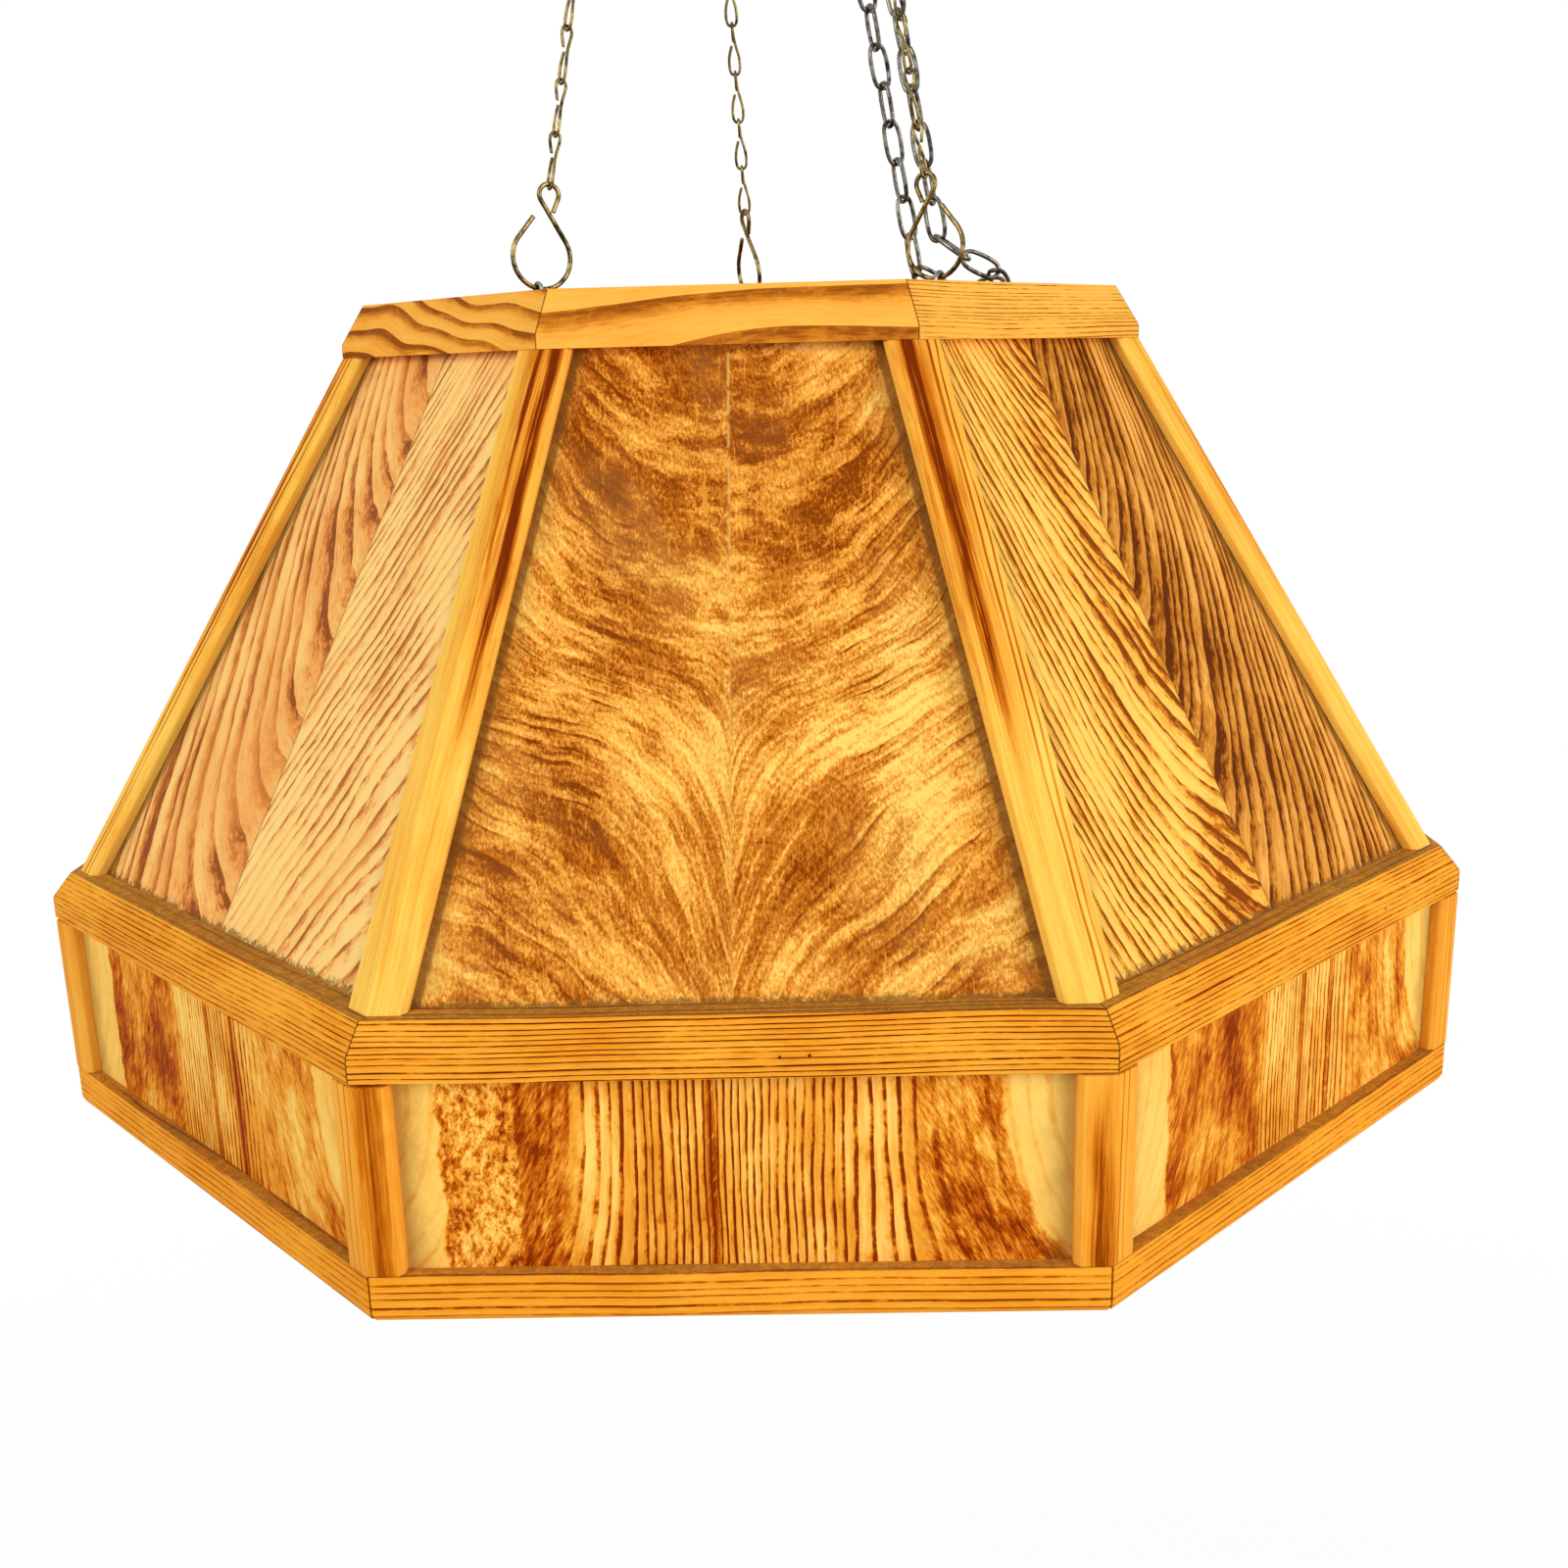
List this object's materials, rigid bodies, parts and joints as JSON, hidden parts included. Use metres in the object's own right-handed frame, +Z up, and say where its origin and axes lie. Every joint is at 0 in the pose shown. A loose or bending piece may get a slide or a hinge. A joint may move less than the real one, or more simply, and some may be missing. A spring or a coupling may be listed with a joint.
{
  "type": "pendant light",
  "caption": "Octagonal pine pendant light: a sloped shade of grained panels with corner ribs, a waist band and a short skirt, hung on thin brass chains from a ceiling hook.",
  "frame": {"origin": "on the lamp's axis at the ceiling, where the hook's collar meets it", "axes": "+Z up along the lamp's axis and the hook's shank; -Y is the front side that faces the camera; +X to the right seen from the front"},
  "size_m": [0.628, 0.628, 0.9347],
  "materials": {
    "panel_pine": "satin varnish",
    "moulding_pine": "satin varnish",
    "board_pine": "matt",
    "zinc_steel": "zinc plated",
    "dark_steel": "worn",
    "chain_brass": "tarnished",
    "contact_brass": "bright",
    "holder_plastic": "gloss",
    "core_plastic": "matt",
    "bulb_glass": "frosted"
  },
  "bodies": {
    "ceiling": {"ceiling_hook": "zinc_steel"},
    "ring": {"dee_ring": "zinc_steel"},
    "lamp": {"bottom_rail": "moulding_pine", "cap_moulding": "moulding_pine", "holder_cap": "holder_plastic", "holder_core": "core_plastic", "holder_shell": "contact_brass", "holder_sleeve": "holder_plastic", "holder_tongue": "contact_brass", "jack_chain_back": "chain_brass", "jack_chain_front_left": "chain_brass", "jack_chain_front_right": "chain_brass", "nipple": "zinc_steel", "nipple_nut": "zinc_steel", "nipple_washer": "zinc_steel", "post_1": "moulding_pine", "post_2": "moulding_pine", "post_3": "moulding_pine", "post_4": "moulding_pine", "post_5": "moulding_pine", "post_6": "moulding_pine", "post_7": "moulding_pine", "post_8": "moulding_pine", "rib_1": "moulding_pine", "rib_2": "moulding_pine", "rib_3": "moulding_pine", "rib_4": "moulding_pine", "rib_5": "moulding_pine", "rib_6": "moulding_pine", "rib_7": "moulding_pine", "rib_8": "moulding_pine", "s_hook_back": "chain_brass", "s_hook_front_left": "chain_brass", "s_hook_front_right": "chain_brass", "screw_eyes": "zinc_steel", "shade_panel_1": "panel_pine", "shade_panel_2": "panel_pine", "shade_panel_3": "panel_pine", "shade_panel_4": "panel_pine", "shade_panel_5": "panel_pine", "shade_panel_6": "panel_pine", "shade_panel_7": "panel_pine", "shade_panel_8": "panel_pine", "skirt_panel_1": "panel_pine", "skirt_panel_2": "panel_pine", "skirt_panel_3": "panel_pine", "skirt_panel_4": "panel_pine", "skirt_panel_5": "panel_pine", "skirt_panel_6": "panel_pine", "skirt_panel_7": "panel_pine", "skirt_panel_8": "panel_pine", "spare_chain": "dark_steel", "top_board": "board_pine", "waist_band": "moulding_pine"},
    "bulb": {"bulb_tip": "contact_brass", "bulb_base": "contact_brass", "bulb_glass": "bulb_glass"}
  },
  "joints": [
    {"name": "ring_swing", "type": "hinge", "parent": "ceiling", "child": "ring", "pos_m": [0, 0, -0.03466], "axis": [0, 1, 0], "range_deg": [-25, 25]},
    {"name": "lamp_swing", "type": "hinge", "parent": "ring", "child": "lamp", "pos_m": [0, 0, -0.06306], "axis": [1, 0, 0], "range_deg": [-25, 25]},
    {"name": "bulb_out", "type": "slide", "parent": "lamp", "child": "bulb", "axis": [0, 0, -1], "range_m": [0, 0.03]}
  ]
}
